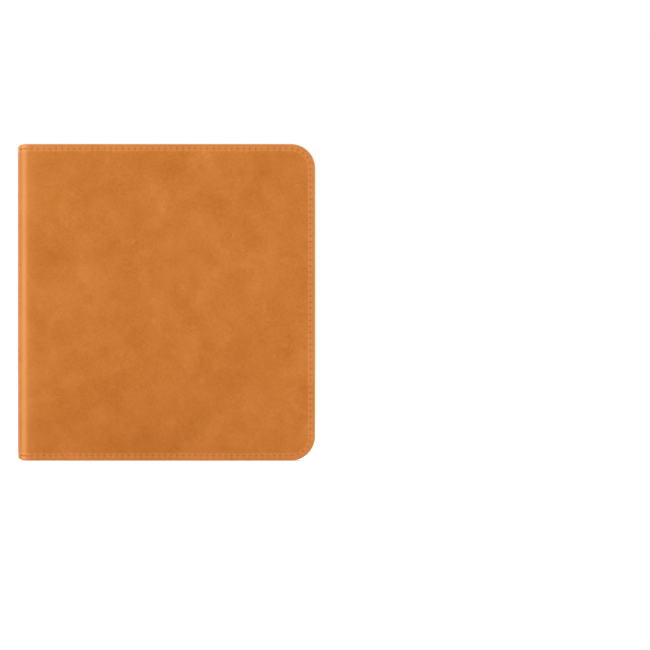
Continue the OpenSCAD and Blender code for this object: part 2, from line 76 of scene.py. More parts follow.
panel_low, panel_high = corners("front_leather")
_, spine_high = corners("spine_leather")
lining_low, lining_high = corners("front_lining")
button_low, button_high = corners("power_button")

X_FORE = panel_low.x
X_FOLD = panel_high.x
X_SPINE = spine_high.x
Y_OUT = panel_high.y
Y_FOLD = spine_high.y
HEIGHT = panel_high.z
HALF_HEIGHT = HEIGHT / 2
ROLL_R = X_SPINE - X_FOLD
WINDOW_X = (button_low.x + button_high.x) / 2
WINDOW_Z = (button_low.z + button_high.z) / 2
WINDOW_R = 9.25
CORNER_R = 12.8

# The cover's skins are drawn as a flat sheet. A point of it has a run along the wrap, a height z, and a
# depth h out of the cover's surface. Each half of the fold goes with the panel or the strip beside it.
ROLL_RUN = ROLL_R * pi / 2
RUN_SPINE = X_FOLD + ROLL_RUN
RUN_CUT = X_FOLD + ROLL_RUN / 2
RUN_MIDDLE = RUN_SPINE + Y_FOLD

# Points deeper than LEATHER_BACK are on the turned-in hem or the lining.
LEATHER_T = 1.0
LEATHER_BACK = 0.95 * LEATHER_T
HEM_H = panel_low.y - Y_OUT
HEM_W = 3.4

# The seam: its distance from the edge, its path round a panel from cut to cut, and its stitches.
SEAM = 2.5
STITCHES = 144
SPINE_STITCHES = 2
STEPS_PER_STITCH = 10
SEAM_R = CORNER_R - SEAM
SEAM_STRAIGHT = RUN_CUT - X_FORE - CORNER_R
SEAM_ARC = SEAM_R * pi / 2
SEAM_EDGE = HEIGHT - 2 * CORNER_R
SEAM_RUN = 2 * SEAM_STRAIGHT + 2 * SEAM_ARC + SEAM_EDGE
PITCH = SEAM_RUN / STITCHES
SPINE_PITCH = (RUN_MIDDLE - RUN_CUT) / SPINE_STITCHES
STEP = PITCH / STEPS_PER_STITCH

# The rolled rim and the crown behind it, which is level from FLAT_FROM on.
RIM_W = 1.1
RIM_DROP = 0.88
RIM_CROWN = 0.12
FLAT_FROM = 5.2

# Distances from the edge at which the outer face has a ring of points, and the hem's (inset, h) points
# from its raw edge inside the cover out to the rim.
RING_INSETS = [0, 0.03, 0.1, 0.22, 0.4, 0.65, 0.95, 1.3, 1.7, 2.0, 2.2, 2.38, SEAM, 2.72,
               2.9, 3.1, 3.4, 3.8, 4.4, FLAT_FROM]
HEM_PROFILE = [(HEM_W, -LEATHER_T), (HEM_W, HEM_H), (0.9, HEM_H), (0.5, HEM_H + 0.05),
               (0.22, HEM_H + 0.22), (0.06, HEM_H + 0.5), (0, HEM_H + 0.9)]

# How far the cover's upper and lower edges draw in at the spine, and the run in which they do so.
DIP = 0.9
DIP_FROM = X_FOLD + 1
DIP_TO = X_FOLD + 9.5

# The leather over its board: the sizes and depths of its waves and ripples, the width over which they
# fade towards the fold, and the sag where the roll begins.
WAVE_SIZE = 26
RIPPLE_SIZE = 9
WAVE_SEED = 7.3
RIPPLE_SEED = 3.1
WAVE_DEPTH = 0.07
RIPPLE_SHARE = 0.16
WAVE_FADE = 12
WAVE_END = X_FOLD - 1
SAG = 0.2
SAG_AT = 0.6
SAG_W = 2.6

# The seam's relief: the groove, the needle holes, the ridges beside them and the hollows at them.
GROOVE_DEPTH = 0.09
GROOVE_W = 0.4
HOLE_DEPTH = 0.45
HOLE_W = 0.3
HOLE_LENGTH = 0.32
RIDGE_HEIGHT = 0.08
RIDGE_AT = 0.95
RIDGE_W = 0.45
RIDGE_LEAST = 0.4
HOLLOW_DEPTH = 0.05
HOLLOW_W = 1.1

# Where the materials are darkened at a needle hole: painted shade in the hole.
DARK_LENGTH = 0.42
DARK_W = 0.34

# Where the leather is paler, partly because it is stretched and partly as a painted highlight on the fold,
# beside the stitches and at the rims: a share, its place and its width.
ROLL_PALE = 0.66
ROLL_PALE_AT = 2.3
ROLL_PALE_W = 1.7
ROLL_HALO = 0.14
ROLL_HALO_AT = 1
ROLL_HALO_W = 5
RIDGE_PALE = 0.36
RIDGE_PALE_AT = 0.85
RIDGE_PALE_W = 0.55
RIDGE_PALE_LEAST = 0.55
GROOVE_PALE = 0.45
GROOVE_PALE_W = 0.45
RIM_PALE = 0.85
WINDOW_PALE = 0.3
EDGE_PALE_W = 1.2

# The skins' free points: graded rings beside a panel's edge, each with its distance from the edge's last
# ring and how many steps lie between its points, then a lattice.
GRADED_RINGS = ((0.6, 2), (1.6, 4), (3.4, 8), (6.2, 10))
FOLD_MARGIN = 1.5
FINE_MARGIN = 1.6
FOLD_CLEARANCE = 0.8
LATTICE_MARGIN = 7.6
LATTICE_STEP = 2.6
COLUMN_GROWTH = 1.35
COLUMN_MOST = 3.1
WINDOW_STEPS = 96
WINDOW_RINGS = ((0.7, 64), (2.0, 40))
WINDOW_CLEARANCE = 1.4

# Points closer than MERGE become one. TINY is the triangulation's tolerance.
MERGE = 0.0005
TINY = 1e-6

# Keeps the two halves' places apart in the materials, so that their grain differs.
BACK_OFFSET = 400


def smooth(t):
    """An even step from 0 to 1 while t goes from 0 to 1."""
    t = min(max(t, 0), 1)
    return t * t * (3 - 2 * t)


def bell(x, width):
    """A hump of height 1 at x = 0."""
    return exp(-(x / width) ** 2)


def dip(run):
    """How far the cover's upper and lower edges draw in at this run."""
    return DIP * smooth((run - DIP_FROM) / (DIP_TO - DIP_FROM))


def wrap(co, side):
    """A point of the flat sheet on the cover's front (side 1) or back (side -1), in metres."""
    run, z, h = co
    inset = HALF_HEIGHT - abs(z - HALF_HEIGHT)
    reach = HALF_HEIGHT if h > -LEATHER_BACK else HEM_W
    share = 1 - inset / reach
    z += dip(run) * max(share, 0) * (1 if z < HALF_HEIGHT else -1)
    if run <= X_FOLD:
        x, y = run, Y_OUT + h
    elif run <= RUN_SPINE:
        turn = (run - X_FOLD) / ROLL_R
        x, y = X_FOLD + (ROLL_R + h) * sin(turn), Y_FOLD + (ROLL_R + h) * cos(turn)
    else:
        x, y = X_SPINE + h, Y_FOLD + RUN_SPINE - run
    return Vector((x, side * y, z)) * MM


def station(s):
    """The panel's outline at s along the seam from its lower cut: a point and the inward normal."""
    if s <= SEAM_STRAIGHT:
        return Vector((RUN_CUT - s, 0)), Vector((0, 1))
    s -= SEAM_STRAIGHT
    if s <= SEAM_ARC:
        turn = s / SEAM_R
        inward = Vector((sin(turn), cos(turn)))
        return Vector((X_FORE + CORNER_R, CORNER_R)) - CORNER_R * inward, inward
    s -= SEAM_ARC
    if s <= SEAM_EDGE:
        return Vector((X_FORE, CORNER_R + s)), Vector((1, 0))
    s -= SEAM_EDGE
    if s <= SEAM_ARC:
        turn = s / SEAM_R
        inward = Vector((cos(turn), -sin(turn)))
        return Vector((X_FORE + CORNER_R, HEIGHT - CORNER_R)) - CORNER_R * inward, inward
    s -= SEAM_ARC
    return Vector((X_FORE + CORNER_R + s, HEIGHT)), Vector((0, -1))


def undulation(run, z, side):
    """A slight unevenness of the leather over its board, and its sag where the roll begins."""
    wave = noise.noise(Vector((run / WAVE_SIZE, z / WAVE_SIZE, side * WAVE_SEED)))
    ripple = noise.noise(Vector((run / RIPPLE_SIZE, z / RIPPLE_SIZE, side * RIPPLE_SEED)))
    level = 0.5 + 0.5 * wave + RIPPLE_SHARE * ripple
    uneven = -WAVE_DEPTH * min(max(level, 0), 1) * smooth((WAVE_END - run) / WAVE_FADE)
    return uneven - SAG * bell(run - X_FOLD - SAG_AT, SAG_W)


def from_hole(s, pitch):
    """Distance along the seam from the nearest needle hole."""
    return abs((s / pitch + 0.5) % 1 - 0.5) * pitch


def surface(s, inset, pitch):
    """Depth of the leather's outer face near its edge: rolled rim, crown and stitched groove."""
    if inset < RIM_W:
        h = -RIM_CROWN - RIM_DROP * (1 - sqrt(max(0, 1 - (1 - inset / RIM_W) ** 2)))
    else:
        h = -RIM_CROWN * (1 - smooth((inset - RIM_W) / (FLAT_FROM - RIM_W)))
    away = from_hole(s, pitch)
    across = inset - SEAM
    h -= GROOVE_DEPTH * bell(across, GROOVE_W)
    h -= HOLE_DEPTH * bell(across, HOLE_W) * bell(away, HOLE_LENGTH)
    between = smooth(away / (pitch / 2))
    ridge = RIDGE_LEAST + (1 - RIDGE_LEAST) * between
    h += RIDGE_HEIGHT * bell(abs(across) - RIDGE_AT, RIDGE_W) * ridge
    h -= HOLLOW_DEPTH * bell(across, HOLLOW_W) * (1 - between)
    return min(h, 0)


def hole_shade(s, inset, pitch):
    """How far a point is in a needle hole, from 0 to 1: the share of painted shade that it gets there."""
    return bell(from_hole(s, pitch), DARK_LENGTH) * bell(inset - SEAM, DARK_W)


def pull(run, s, inset, pitch):
    """How much paler the leather is: over the folds, by the stitches, at the rim. It is partly stretched
    leather and partly painted highlight.
    """
    across = inset - SEAM
    roll = ROLL_PALE * bell(run - X_FOLD - ROLL_PALE_AT, ROLL_PALE_W)
    roll += ROLL_HALO * bell(run - X_FOLD - ROLL_HALO_AT, ROLL_HALO_W)
    beside = RIDGE_PALE * bell(abs(across) - RIDGE_PALE_AT, RIDGE_PALE_W)
    beside += GROOVE_PALE * bell(across, GROOVE_PALE_W)
    between = RIDGE_PALE_LEAST + (1 - RIDGE_PALE_LEAST) * smooth(from_hole(s, pitch))
    rim = RIM_PALE * smooth(1 - inset / EDGE_PALE_W)
    return min(1, roll + beside * between + rim)


def new_sheet():
    """A mesh to draw flat. Its points keep their flat place, their painted shade in needle holes and their
    lightening, which on the leather is partly painted highlight, for materials.
    """
    bm = bmesh.new()
    layers = {
        "sheet_pos": bm.verts.layers.float_vector.new("sheet_pos"),
        "hole_shade": bm.verts.layers.float.new("hole_shade"),
        "pull": bm.verts.layers.float.new("pull"),
    }
    return bm, layers


def rows(bm, paths, closed=False):
    """Quads between neighbouring rows of vertices."""
    for a, b in zip(paths, paths[1:]):
        count = len(a)
        for i in range(count if closed else count - 1):
            j = (i + 1) % count
            bm.faces.new((a[i], a[j], b[j], b[i]))


def fill(bm, loops, points, h, hole=0):
    """Triangles inside the loops, through the free points, and none within hole of the window."""
    pulled = bm.verts.layers.float["pull"]
    known = [v for loop in loops for v in loop]
    flat = [v.co.xy for v in known] + [Vector(p) for p in points]
    edges = []
    start = 0
    for loop in loops:
        edges += [(start + i, start + (i + 1) % len(loop)) for i in range(len(loop))]
        start += len(loop)
    places, _, faces, origin, _, _ = delaunay_2d_cdt(flat, edges, [], 1, TINY)
    verts = []
    for place, source in zip(places, origin):
        old = [i for i in source if i < len(known)]
        if old:
            verts.append(known[old[0]])
        else:
            v = bm.verts.new((place.x, place.y, h(place.x, place.y)))
            v[pulled] = pull(place.x, 0, FLAT_FROM, PITCH)
            verts.append(v)
    window = Vector((WINDOW_X, WINDOW_Z))
    for face in faces:
        middle = sum((places[i] for i in face), Vector((0, 0))) / len(face)
        if (middle - window).length < hole:
            continue
        if len({verts[i] for i in face}) == 3:
            bm.faces.new([verts[i] for i in face])
    for v in [v for v in verts if not v.link_faces]:
        bm.verts.remove(v)


def columns(stop):
    """Runs of the lattice's columns: close together in the fold and wider over the board."""
    count = ceil((RUN_CUT - X_FOLD + FOLD_MARGIN) / STEP)
    found = [RUN_CUT - STEP * (i + 1) for i in range(count)]
    gap = 2 * STEP
    while found[-1] - gap > stop:
        found.append(found[-1] - gap)
        gap = min(gap * COLUMN_GROWTH, COLUMN_MOST)
    return found


def lattice(inset, fold_inset, hole):
    """Free points for the inside of a panel, graded from its dense edge to a coarse middle."""
    points = []
    for extra, every in GRADED_RINGS:
        for i in range(every // 2, STITCHES * STEPS_PER_STITCH, every):
            base, inward = station(i * STEP)
            p = base + inward * (inset + extra)
            if p.x < X_FOLD - FOLD_MARGIN:
                points.append(p)
    margin = inset + LATTICE_MARGIN
    for run in columns(X_FORE + margin):
        reach = fold_inset + FOLD_CLEARANCE if run > X_FOLD - FINE_MARGIN else margin
        steps = ceil((HEIGHT - 2 * reach) / LATTICE_STEP)
        for i in range(steps + 1):
            z = reach + (HEIGHT - 2 * reach) * i / steps
            near = X_FORE + CORNER_R - run
            high = max(CORNER_R - z, z - HEIGHT + CORNER_R)
            if near > 0 and high > 0 and hypot(near, high) > CORNER_R - margin:
                continue
            if hypot(run - WINDOW_X, z - WINDOW_Z) > hole + WINDOW_CLEARANCE:
                points.append((run, z))
    if hole:
        for extra, count in WINDOW_RINGS:
            points += [(WINDOW_X + (hole + extra) * cos(2 * pi * i / count),
                        WINDOW_Z + (hole + extra) * sin(2 * pi * i / count))
                       for i in range(count)]
    return points


# A shift says how far a profile moves in from the edge at a run, and how far its inner face moves out.
HEM_THINS = 0.85
HEM_THINS_RUN = 1.5
LINING_IN = 3.3
LINING_IN_FROM = X_FOLD - 3.5
LINING_IN_RUN = 3.2
LINING_OFF = 1.2
LINING_OFF_RUN = 1.3
LINING_ON_RUN = 1.2


def no_shift(run):
    """The window's edge keeps to its profile."""
    return 0, 0


def hem_shift(run):
    """The turned-in hem thins out where it rolls round the fold."""
    return 0, HEM_THINS * smooth((run - X_FOLD + HEM_THINS_RUN) / HEM_THINS_RUN)


def lining_shift(run):
    """The lining steps in from the edge and off the board at the fold, and on to the spine's board."""
    off = smooth((run - X_FOLD + LINING_OFF_RUN) / LINING_OFF_RUN)
    off -= smooth((run - RUN_SPINE) / LINING_ON_RUN)
    return LINING_IN * smooth((run - LINING_IN_FROM) / LINING_IN_RUN), LINING_OFF * off


def level_of(h, s, inset, run, z, side, pitch, shift):
    """Depth of a profile's point: a stated h, or the leather's outer face where h is None."""
    if h is None:
        return surface(s, inset, pitch) + undulation(run, z, side)
    share = min(1, max(0, (-LEATHER_T - h) / (-LEATHER_T - HEM_H)))
    return h + share * shift(run)[1]


def new_object(name, bm, sharp_degrees):
    """An object from a mesh in metres, smooth but for edges that turn by more than the angle."""
    mesh = bpy.data.meshes.new(name)
    bm.to_mesh(mesh)
    bm.free()
    mesh.shade_smooth()
    mesh.set_sharp_from_angle(angle=radians(sharp_degrees))
    obj = bpy.data.objects.new(name, mesh)
    bpy.context.scene.collection.objects.link(obj)
    return obj


def finish_sheet(bm, layers, side, name):
    """Wraps a flat mesh round the cover and makes it an object."""
    bmesh.ops.remove_doubles(bm, verts=bm.verts, dist=MERGE)
    offset = Vector((0, 0, BACK_OFFSET if side < 0 else 0))
    for v in bm.verts:
        v[layers["sheet_pos"]] = (v.co + offset) * MM
    for v in bm.verts:
        v.co = wrap(v.co, side)
    bmesh.ops.recalc_face_normals(bm, faces=bm.faces)
    return new_object(name, bm, sharp_degrees=60)


def close_cuts(bm):
    """Flat faces over the cut edges, so that the mesh is a closed solid."""
    edges = [e for e in bm.edges if e.is_boundary]
    made = bmesh.ops.holes_fill(bm, edges=edges, sides=0)["faces"]
    bmesh.ops.triangulate(bm, faces=made)


def panel(name, side, profile, shift, hole_profile=()):
    """A skin of one panel and half of its fold, from profile's rings round the three open edges."""
    bm, layers = new_sheet()
    steps = range(STITCHES * STEPS_PER_STITCH + 1)
    stations = [station(i * STEP) for i in steps]
    rings = []
    for inset, h in profile:
        ring = []
        for i, (base, inward) in zip(steps, stations):
            run = base.x
            p = base + inward * (inset + shift(run)[0])
            level = level_of(h, i * STEP, inset, p.x, p.y, side, PITCH, shift)
            v = bm.verts.new((p.x, p.y, level))
            # Paler where stretched, partly a painted highlight; and painted shade in the needle holes.
            v[layers["pull"]] = pull(p.x, i * STEP, inset, PITCH)
            v[layers["hole_shade"]] = hole_shade(i * STEP, inset, PITCH) if h is None else 0
            ring.append(v)
        rings.append(ring)
    rows(bm, rings)
    circles = []
    for extra, h in hole_profile:
        circle = []
        for i in range(WINDOW_STEPS):
            turn = 2 * pi * i / WINDOW_STEPS
            x = WINDOW_X + (WINDOW_R + extra) * cos(turn)
            z = WINDOW_Z + (WINDOW_R + extra) * sin(turn)
            level = level_of(h, 0, FLAT_FROM + extra, x, z, side, PITCH, no_shift)
            v = bm.verts.new((x, z, level))
            # The window's rim is lighter, partly a painted highlight.
            v[layers["pull"]] = WINDOW_PALE * smooth(1 - extra / EDGE_PALE_W)
            circle.append(v)
        circles.append(circle)
    rows(bm, circles, closed=True)
    for end in (0, -1):
        inset, h = profile[end]
        ring = rings[end]
        top, low = ring[-1].co.y, ring[0].co.y
        count = ceil((top - low) / LATTICE_STEP)

        def middle(run, z):
            return level_of(h, 0, FLAT_FROM, run, z, side, PITCH, shift)

        cut = [bm.verts.new((RUN_CUT, top + (low - top) * i / count,
                             middle(RUN_CUT, HALF_HEIGHT))) for i in range(1, count)]
        for v in cut:
            v[layers["pull"]] = pull(RUN_CUT, 0, FLAT_FROM, PITCH)
        hole = WINDOW_R + hole_profile[end][0] if hole_profile else 0
        loops = [ring + cut] + ([circles[end]] if circles else [])
        fill(bm, loops, lattice(inset, inset + shift(RUN_CUT)[0], hole), middle, hole)
    close_cuts(bm)
    return finish_sheet(bm, layers, side, name)


def strip(name, side, profile, shift):
    """A skin of half a fold and half of the spine: a closed section swept from cut to middle."""
    bm, layers = new_sheet()
    steps = SPINE_STITCHES * STEPS_PER_STITCH
    extra = shift(RUN_CUT)[0]
    start = profile[0][0] + extra
    end = profile[-1][0] + extra
    up = ceil((HEIGHT - 2 * end) / LATTICE_STEP)
    down = ceil((HEIGHT - 2 * start) / LATTICE_STEP)
    section = [(inset + extra, inset, h) for inset, h in profile]
    section += [(end + (HEIGHT - 2 * end) * i / up, FLAT_FROM, profile[-1][1]) for i in range(1, up)]
    section += [(HEIGHT - inset - extra, inset, h) for inset, h in reversed(profile)]
    section += [(HEIGHT - start - (HEIGHT - 2 * start) * i / down, FLAT_FROM, profile[0][1])
                for i in range(1, down)]
    loops = []
    for i in range(steps + 1):
        s = (RUN_MIDDLE - RUN_CUT) * i / steps
        run = RUN_CUT + s
        loop = []
        for z, inset, h in section:
            v = bm.verts.new((run, z, level_of(h, s, inset, run, z, side, SPINE_PITCH, shift)))
            # Paler where stretched, partly a painted highlight; and painted shade in the needle holes.
            v[layers["pull"]] = pull(run, s, inset, SPINE_PITCH)
            v[layers["hole_shade"]] = hole_shade(s, inset, SPINE_PITCH) if h is None else 0
            loop.append(v)
        loops.append(loop)
    rows(bm, loops, closed=True)
    ends = [bm.faces.new(loops[0]), bm.faces.new(loops[-1])]
    bmesh.ops.triangulate(bm, faces=ends)
    return finish_sheet(bm, layers, side, name)


# The thread: its section, how deep it lies and dives, how it leans across the seam, and its twist.
THREAD_HALF_W = 0.23
THREAD_HALF_T = 0.19
THREAD_SIDES = 8
THREAD_RINGS = 9
THREAD_LIES = 0.23
THREAD_DIVES = 0.45
THREAD_TAPER = 0.3
THREAD_TWISTS = 2.5
STITCH_FROM = 0.1
STITCH_SHARE = 0.8
LEAN = 0.05
LEAN_JITTER = 0.04
LIES_JITTER = 0.02
JITTER_STEP = 1.7
JITTER_PLACE = (3.3, 0.5)
JITTER_SIDES_APART = 40


def add_stitch(bm, layers, place, s, pitch, seed):
    """One stitch of the seam: a twisted thread that dives into a needle hole at each end."""
    jitter = noise.noise(Vector((seed * JITTER_STEP, *JITTER_PLACE)))
    loops = []
    for i in range(THREAD_RINGS):
        t = i / (THREAD_RINGS - 1)
        dive = abs(2 * t - 1) ** 4
        base, inward = place(s + pitch * (STITCH_FROM + STITCH_SHARE * t))
        size = 1 - THREAD_TAPER * dive
        across = SEAM + (LEAN + LEAN_JITTER * jitter) * (2 * t - 1)
        lies = LIES_JITTER * jitter - THREAD_LIES - THREAD_DIVES * dive
        loop = []
        for k in range(THREAD_SIDES):
            turn = 2 * pi * k / THREAD_SIDES
            p = base + inward * (across + THREAD_HALF_W * size * cos(turn))
            v = bm.verts.new((p.x, p.y, lies + THREAD_HALF_T * size * sin(turn)))
            # Painted shade where the thread dives into its hole.
            v[layers["hole_shade"]] = dive
            v[layers["pull"]] = 0.5 + 0.5 * sin(turn + 2 * pi * THREAD_TWISTS * t)
            loop.append(v)
        loops.append(loop)
    rows(bm, loops, closed=True)
    bm.faces.new(loops[0])
    bm.faces.new(loops[-1])


def lower_end(s):
    """The lower edge from the cut towards the spine's middle, as station gives the panel's."""
    return Vector((RUN_CUT + s, 0)), Vector((0, 1))


def upper_end(s):
    """The upper edge from the cut towards the spine's middle."""
    return Vector((RUN_CUT + s, HEIGHT)), Vector((0, -1))


def seam(name, side, runs):
    """All the stitches of one skin. Each run is where it lies, how many stitches and their pitch."""
    bm, layers = new_sheet()
    for place, count, pitch in runs:
        for i in range(count):
            add_stitch(bm, layers, place, i * pitch, pitch, i + JITTER_SIDES_APART * side)
    return finish_sheet(bm, layers, side, name)


# Profiles are lists of (inset, h) points: of the leather and the lining at the edges, and of both at the
# window, where an inset is a distance from the opening.
leather_profile = HEM_PROFILE + [(inset, None) for inset in RING_INSETS]
window_profile = [(1.0, -LEATHER_T), (1.0, HEM_H), (0.12, HEM_H), (0, HEM_H + 0.12), (0, -0.9),
                  (0.02, -0.65), (0.1, -0.42), (0.25, -0.24), (0.45, -0.12), (0.75, -0.05),
                  (1.2, -0.015), (1.9, None)]
lining_t = lining_high.y - lining_low.y
lining_face = HEM_H - lining_t
lining_profile = [(0.3, HEM_H), (0.3, lining_face + 0.14), (0.36, lining_face + 0.04),
                  (0.5, lining_face)]
lining_window = [(0.2, HEM_H), (0.2, lining_face + 0.14), (0.27, lining_face + 0.04),
                 (0.42, lining_face)]

# A blend covers one half of a fold. It keeps this share of it clear of the fold's middle, and half as
# much clear of its end.
BLEND_TRIM = 0.085

# Each half of the cover: its side, the body of its panel, its hinge body, and its nodes' prefix.
HALVES = [(1, "front_cover", "front_hinge", "front"),
          (-1, "reader_and_back_cover", "back_hinge", "back")]
skins, seams, linings = [], [], []
for side, panel_body, hinge_body, prefix in HALVES:
    has_window = side < 0
    skin = panel(f"{prefix}_panel_skin", side, leather_profile, hem_shift,
                 window_profile if has_window else ())
    edge = strip(f"{prefix}_spine_skin", side, leather_profile, hem_shift)
    lining = panel(f"{prefix}_panel_lining", side, lining_profile, lining_shift,
                   lining_window if has_window else ())
    inner = strip(f"{prefix}_spine_lining", side, lining_profile, lining_shift)
    sewn = seam(f"{prefix}_panel_seam", side, [(station, STITCHES, PITCH)])
    ends = seam(f"{prefix}_spine_seam", side, [(lower_end, SPINE_STITCHES, SPINE_PITCH),
                                               (upper_end, SPINE_STITCHES, SPINE_PITCH)])
    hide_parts(f"{prefix}_leather", f"{prefix}_fold")
    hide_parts("spine_leather")
    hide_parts(f"{prefix}_lining", f"{prefix}_fold_lining")
    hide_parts("spine_lining")
    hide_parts(f"{prefix}_stitching")
    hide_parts("spine_stitching")
    skins += [skin, edge]
    linings += [lining, inner]
    seams += [sewn, ends]
    bend_from = wrap((X_FOLD, HALF_HEIGHT, -LEATHER_T / 2), side)
    bend_middle = wrap((RUN_CUT, HALF_HEIGHT, -LEATHER_T / 2), side)
    bend_to = wrap((RUN_SPINE, HALF_HEIGHT, -LEATHER_T / 2), side)
    for obj in (skin, lining, sewn):
        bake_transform(obj, panel_body, hinge_body, start=bend_from.lerp(bend_middle, BLEND_TRIM / 2),
                 end=bend_from.lerp(bend_middle, 1 - BLEND_TRIM))
    for obj in (edge, inner, ends):
        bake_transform(obj, hinge_body, "spine", start=bend_middle.lerp(bend_to, BLEND_TRIM),
                 end=bend_middle.lerp(bend_to, 1 - BLEND_TRIM / 2))

# The power button, seen through the window, and its mark.


def finish_solid(name, bm, sharp_degrees):
    """An object from a closed mesh drawn in millimetres."""
    bmesh.ops.recalc_face_normals(bm, faces=bm.faces)
    bmesh.ops.scale(bm, vec=(MM, MM, MM), verts=bm.verts)
    return new_object(name, bm, sharp_degrees)


def turned(name, profile, x, z, steps=128):
    """A solid turned from (radius, y) points about the line along Y through x and z."""
    bm = bmesh.new()
    loops = []
    for radius, y in profile:
        if radius == 0:
            loops.append([bm.verts.new((x, y, z))])
            continue
        loops.append([bm.verts.new((x + radius * cos(2 * pi * i / steps), y,
                                    z + radius * sin(2 * pi * i / steps))) for i in range(steps)])
    for a, b in zip(loops, loops[1:]):
        if len(a) > 1 and len(b) > 1:
            rows(bm, [a, b], closed=True)
        else:
            tip, ring = (a[0], b) if len(a) == 1 else (b[0], a)
            for i in range(steps):
                bm.faces.new((tip, ring[i], ring[(i + 1) % steps]))
    return finish_solid(name, bm, sharp_degrees=50)


BUTTON_R = 5.4
DISH_R = 5.2
DISH_FLOOR_R = 3.3
DISH_DEPTH = 0.75
DISH_STEPS = 12
BUTTON_T = 1.1
BUTTON_FACE = button_low.y
BUTTON_BACK = BUTTON_FACE + BUTTON_T
DISH_FLOOR = BUTTON_FACE + DISH_DEPTH

# From the middle of the dish's floor, up its curved wall, over the rounded rim and round to the back.
button_profile = [(0, DISH_FLOOR), (DISH_FLOOR_R * 0.8, DISH_FLOOR)]
for i in range(DISH_STEPS + 1):
    t = i / DISH_STEPS
    button_profile.append((DISH_FLOOR_R + (DISH_R - DISH_FLOOR_R) * t,
                           BUTTON_FACE + DISH_DEPTH * cos(t * pi / 2)))
button_profile += [(DISH_R + 0.05, BUTTON_FACE), (DISH_R + 0.12, BUTTON_FACE + 0.03),
                   (BUTTON_R, BUTTON_FACE + 0.15), (BUTTON_R, BUTTON_BACK), (0, BUTTON_BACK)]
button = turned("power_button_cap", button_profile, WINDOW_X, WINDOW_Z)
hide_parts("power_button")
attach(button, "power_button")

# The mark: a ring with a gap, and a bar that runs from its middle out through the gap.
ICON_R = 2.4
ICON_W = 0.95
BAR_RUN = (0.2, 1.4, ICON_R + 0.1)
ICON_GAP = radians(37)
ICON_DEPTH = 0.12
ICON_PROUD = 0.03
ICON_CHAMFER = 0.04
ICON_STEPS = 48
ICON_END_STEPS = 4
ICON_MERGE = 1e-5


def band(bm, centre_line, width):
    """A flat line with round ends, let into the dish's floor and very slightly proud of it."""
    first, last = centre_line[0], centre_line[-1]
    into = (centre_line[1] - first).normalized()
    out = (last - centre_line[-2]).normalized()
    turns = [k * pi / 2 / ICON_END_STEPS for k in range(1, ICON_END_STEPS + 1)]
    levels = []
    for y, inset in ((ICON_DEPTH, 0), (0, 0), (-ICON_PROUD, ICON_CHAMFER)):
        half = width / 2 - inset
        spots = [(first - half * sin(turn) * into, into, half * cos(turn)) for turn in turns[::-1]]
        for i, p in enumerate(centre_line):
            before = centre_line[max(i - 1, 0)]
            after = centre_line[min(i + 1, len(centre_line) - 1)]
            spots.append((p, (after - before).normalized(), half))
        spots += [(last + half * sin(turn) * out, out, half * cos(turn)) for turn in turns]
        edges = []
        for side in (-1, 1):
            edge = [p + Vector((-along.y, along.x)) * reach * side for p, along, reach in spots]
            edges.append([bm.verts.new((WINDOW_X + q.x, DISH_FLOOR + y, WINDOW_Z + q.y)) for q in edge])
        levels.append(edges)
    rows(bm, levels[0])
    rows(bm, levels[-1])
    for below, above in zip(levels, levels[1:]):
        for low, high in zip(below, above):
            rows(bm, [low, high])


icon_bm = bmesh.new()
arc = [ICON_GAP + (2 * pi - 2 * ICON_GAP) * i / ICON_STEPS for i in range(ICON_STEPS + 1)]
band(icon_bm, [Vector((cos(turn), sin(turn))) * ICON_R for turn in arc], ICON_W)
band(icon_bm, [Vector((x, 0)) for x in BAR_RUN], ICON_W)
bmesh.ops.remove_doubles(icon_bm, verts=icon_bm.verts, dist=ICON_MERGE)
icon = finish_solid("power_mark", icon_bm, sharp_degrees=40)
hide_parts("power_icon")
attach(icon, "power_button")


# Materials. A noise's scale is its number of cells in a metre.


def linear(colour):
    """A colour given as three 0 to 255 screen values, in the linear values that shaders use."""
    values = [c / 255 for c in colour]
    return (*[v / 12.92 if v <= 0.04045 else ((v + 0.055) / 1.055) ** 2.4 for v in values], 1)


